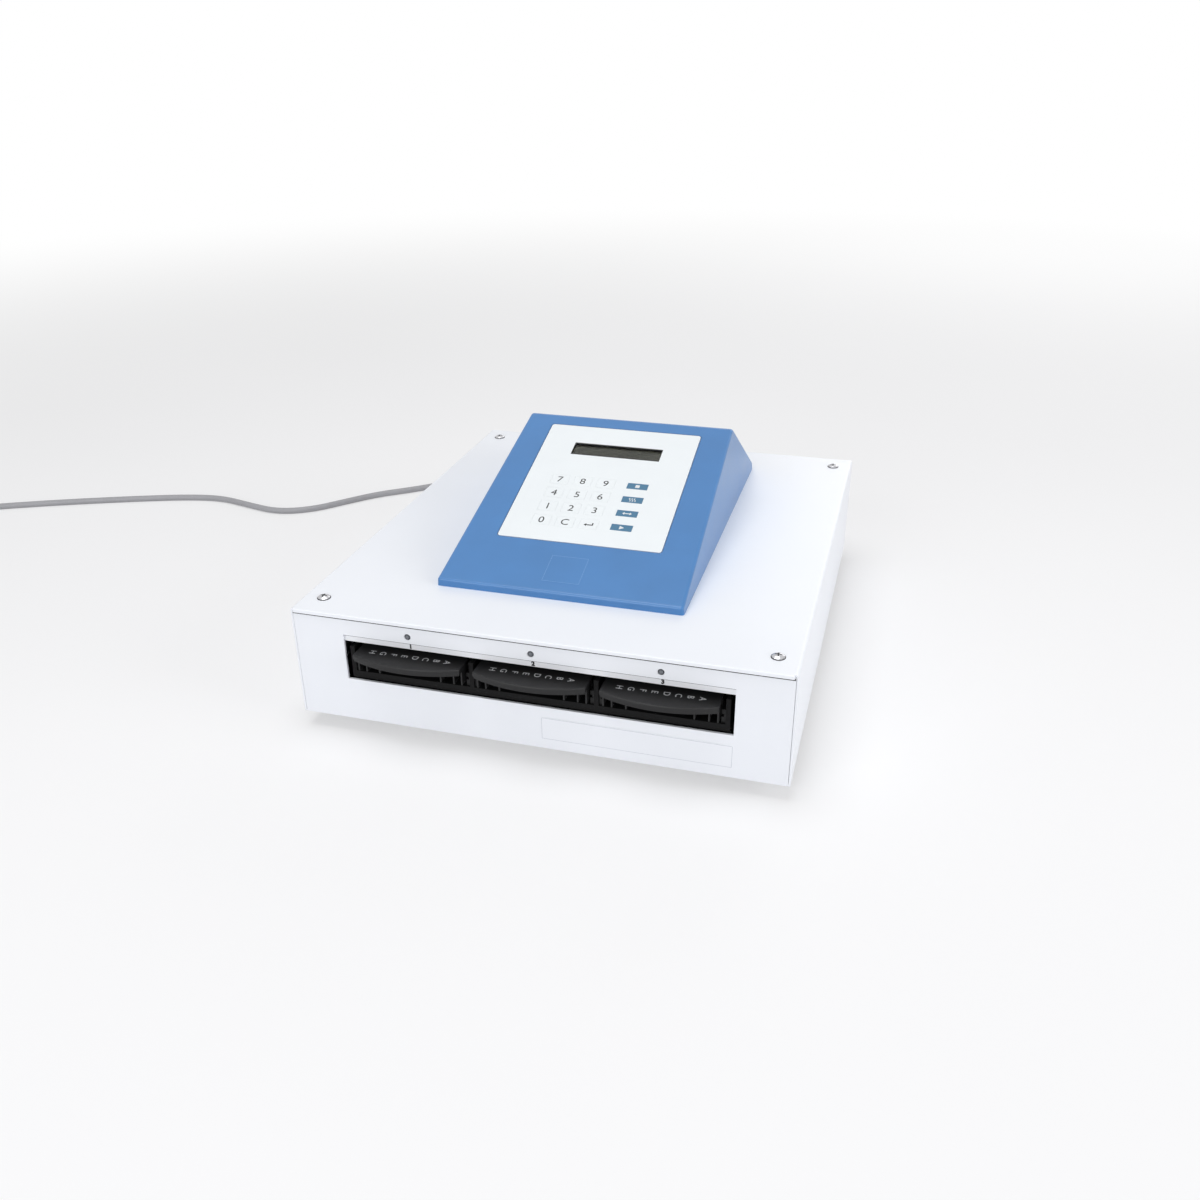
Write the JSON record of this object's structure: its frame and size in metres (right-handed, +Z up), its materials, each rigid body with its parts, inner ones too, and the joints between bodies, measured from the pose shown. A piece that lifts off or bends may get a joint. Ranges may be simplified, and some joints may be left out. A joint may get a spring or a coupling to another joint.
{
  "type": "microplate incubator shaker",
  "caption": "Flat benchtop plate incubator and shaker: a front window of sliding plate drawers on a heated orbital platform, with a sloped keypad console on top and a mains lead.",
  "frame": {"origin": "on the floor, under the middle of the machine's box without its mains lead", "axes": "+X to the machine's right as seen from the front, +Y to its rear, +Z up"},
  "size_m": [1.0844, 0.6169, 0.1848],
  "materials": {
    "white_paint": "smooth white paint, low gloss",
    "zinc_steel": "zinc plated sheet and posts",
    "screw_steel": "plated screw heads",
    "rubber_black": "matte rubber",
    "strip_white": "pale grey satin strip",
    "lamp_lens": "smoky diffusing lens",
    "console_blue": "fine-grained blue enclosure plastic",
    "film_white": "matte white keypad film",
    "key_white": "matte white keypad film with printed signs",
    "key_blue": "blue printed keypad film",
    "pane_clear": "clear window pane",
    "display_grey": "unlit liquid crystal display",
    "board_green": "circuit board",
    "cast_alloy": "machined alloy",
    "bearing_steel": "ground bearing steel",
    "belt_black": "drive belt",
    "motor_grey": "motor can",
    "supply_case": "potted supply module",
    "fitting_black": "moulded black fitting",
    "platform_black": "black anodised alloy",
    "heater_amber": "polyimide heater mat",
    "rail_plastic": "black slide rail",
    "drawer_black": "matte black moulded drawer",
    "cord_grey": "grey cord sheath",
    "plug_grey": "grey moulded plug and connector"
  },
  "bodies": {
    "case": {"chassis": "zinc_steel", "front_panel": "white_paint", "rear_panel": "white_paint", "top_cover": "white_paint", "pan_head_screws": "screw_steel", "cover_posts": "zinc_steel", "rubber_feet": "rubber_black", "number_strip": "strip_white", "status_lamps": "lamp_lens", "console_shell": "console_blue", "keypad_overlay": "film_white", "display_pane": "pane_clear", "display_module": "display_grey", "keypad_board": "board_green", "bearing_towers": "cast_alloy", "tower_bearings": "bearing_steel", "drive_belt": "belt_black", "motor": "motor_grey", "motor_bracket": "zinc_steel", "main_board": "board_green", "power_supply": "supply_case", "inlet_socket": "fitting_black", "power_switch": "fitting_black", "cord_connector": "plug_grey", "mains_cord": "cord_grey", "cord_coil": "cord_grey", "mains_plug": "plug_grey"},
    "crank": {"drive_crank": "bearing_steel", "crank_pulley": "cast_alloy"},
    "platform": {"shaker_platform": "platform_black", "platform_bearings": "bearing_steel", "divider_walls": "platform_black", "heated_bases": "platform_black", "heated_covers": "platform_black", "heater_mats": "heater_amber", "guide_rails": "rail_plastic"},
    "drawer_left": {"drawer_1": "drawer_black"},
    "drawer_middle": {"drawer_2": "drawer_black"},
    "drawer_right": {"drawer_3": "drawer_black"},
    "idler_front": {"idler_crank_front": "bearing_steel"},
    "idler_left": {"idler_crank_left": "bearing_steel"},
    "idler_right": {"idler_crank_right": "bearing_steel"},
    "motor_rotor": {"motor_pulley": "cast_alloy"},
    "rocker": {"power_rocker": "fitting_black"},
    "key_0": {"key_0": "key_white"},
    "key_clear": {"key_clear": "key_white"},
    "key_enter": {"key_enter": "key_white"},
    "key_start": {"key_start": "key_blue"},
    "key_1": {"key_1": "key_white"},
    "key_2": {"key_2": "key_white"},
    "key_3": {"key_3": "key_white"},
    "key_shake": {"key_shake": "key_blue"},
    "key_4": {"key_4": "key_white"},
    "key_5": {"key_5": "key_white"},
    "key_6": {"key_6": "key_white"},
    "key_heat": {"key_heat": "key_blue"},
    "key_7": {"key_7": "key_white"},
    "key_8": {"key_8": "key_white"},
    "key_9": {"key_9": "key_white"},
    "key_stop": {"key_stop": "key_blue"}
  },
  "joints": [
    {"name": "crank_turn", "type": "hinge", "parent": "case", "child": "crank", "pos_m": [0, -0.11085, 0.045], "axis": [0, 0, 1], "continuous": true},
    {"name": "platform_orbit", "type": "hinge", "parent": "crank", "child": "platform", "pos_m": [0, -0.11235, 0.055], "axis": [0, 0, 1], "continuous": true},
    {"name": "idler_front_turn", "type": "hinge", "parent": "case", "child": "idler_front", "pos_m": [0, -0.17385, 0.045], "axis": [0, 0, 1], "continuous": true},
    {"name": "idler_left_turn", "type": "hinge", "parent": "case", "child": "idler_left", "pos_m": [-0.12, -0.03785, 0.045], "axis": [0, 0, 1], "continuous": true},
    {"name": "idler_right_turn", "type": "hinge", "parent": "case", "child": "idler_right", "pos_m": [0.12, -0.03785, 0.045], "axis": [0, 0, 1], "continuous": true},
    {"name": "motor_turn", "type": "hinge", "parent": "case", "child": "motor_rotor", "pos_m": [0, 0.02765, 0.04], "axis": [0, 0, 1], "continuous": true},
    {"name": "drawer_left_slide", "type": "slide", "parent": "platform", "child": "drawer_left", "axis": [0, -1, 0], "range_m": [0, 0.13]},
    {"name": "drawer_middle_slide", "type": "slide", "parent": "platform", "child": "drawer_middle", "axis": [0, -1, 0], "range_m": [0, 0.13]},
    {"name": "drawer_right_slide", "type": "slide", "parent": "platform", "child": "drawer_right", "axis": [0, -1, 0], "range_m": [0, 0.13]},
    {"name": "rocker_tilt", "type": "hinge", "parent": "case", "child": "rocker", "pos_m": [-0.084, 0.22915, 0.052], "axis": [1, 0, 0], "range_deg": [0, 18]},
    {"name": "key_0_press", "type": "slide", "parent": "case", "child": "key_0", "axis": [0, 0.2867, -0.958], "range_m": [0, 0.0004], "stiffness_N_per_m": 1500},
    {"name": "key_clear_press", "type": "slide", "parent": "case", "child": "key_clear", "axis": [0, 0.2867, -0.958], "range_m": [0, 0.0004], "stiffness_N_per_m": 1500},
    {"name": "key_enter_press", "type": "slide", "parent": "case", "child": "key_enter", "axis": [0, 0.2867, -0.958], "range_m": [0, 0.0004], "stiffness_N_per_m": 1500},
    {"name": "key_start_press", "type": "slide", "parent": "case", "child": "key_start", "axis": [0, 0.2867, -0.958], "range_m": [0, 0.0004], "stiffness_N_per_m": 1500},
    {"name": "key_1_press", "type": "slide", "parent": "case", "child": "key_1", "axis": [0, 0.2867, -0.958], "range_m": [0, 0.0004], "stiffness_N_per_m": 1500},
    {"name": "key_2_press", "type": "slide", "parent": "case", "child": "key_2", "axis": [0, 0.2867, -0.958], "range_m": [0, 0.0004], "stiffness_N_per_m": 1500},
    {"name": "key_3_press", "type": "slide", "parent": "case", "child": "key_3", "axis": [0, 0.2867, -0.958], "range_m": [0, 0.0004], "stiffness_N_per_m": 1500},
    {"name": "key_shake_press", "type": "slide", "parent": "case", "child": "key_shake", "axis": [0, 0.2867, -0.958], "range_m": [0, 0.0004], "stiffness_N_per_m": 1500},
    {"name": "key_4_press", "type": "slide", "parent": "case", "child": "key_4", "axis": [0, 0.2867, -0.958], "range_m": [0, 0.0004], "stiffness_N_per_m": 1500},
    {"name": "key_5_press", "type": "slide", "parent": "case", "child": "key_5", "axis": [0, 0.2867, -0.958], "range_m": [0, 0.0004], "stiffness_N_per_m": 1500},
    {"name": "key_6_press", "type": "slide", "parent": "case", "child": "key_6", "axis": [0, 0.2867, -0.958], "range_m": [0, 0.0004], "stiffness_N_per_m": 1500},
    {"name": "key_heat_press", "type": "slide", "parent": "case", "child": "key_heat", "axis": [0, 0.2867, -0.958], "range_m": [0, 0.0004], "stiffness_N_per_m": 1500},
    {"name": "key_7_press", "type": "slide", "parent": "case", "child": "key_7", "axis": [0, 0.2867, -0.958], "range_m": [0, 0.0004], "stiffness_N_per_m": 1500},
    {"name": "key_8_press", "type": "slide", "parent": "case", "child": "key_8", "axis": [0, 0.2867, -0.958], "range_m": [0, 0.0004], "stiffness_N_per_m": 1500},
    {"name": "key_9_press", "type": "slide", "parent": "case", "child": "key_9", "axis": [0, 0.2867, -0.958], "range_m": [0, 0.0004], "stiffness_N_per_m": 1500},
    {"name": "key_stop_press", "type": "slide", "parent": "case", "child": "key_stop", "axis": [0, 0.2867, -0.958], "range_m": [0, 0.0004], "stiffness_N_per_m": 1500}
  ],
  "couplings": [
    {"joint": "platform_orbit", "follows": "crank_turn", "ratio": -1},
    {"joint": "idler_front_turn", "follows": "crank_turn", "ratio": 1},
    {"joint": "idler_left_turn", "follows": "crank_turn", "ratio": 1},
    {"joint": "idler_right_turn", "follows": "crank_turn", "ratio": 1},
    {"joint": "motor_turn", "follows": "crank_turn", "ratio": 2}
  ]
}
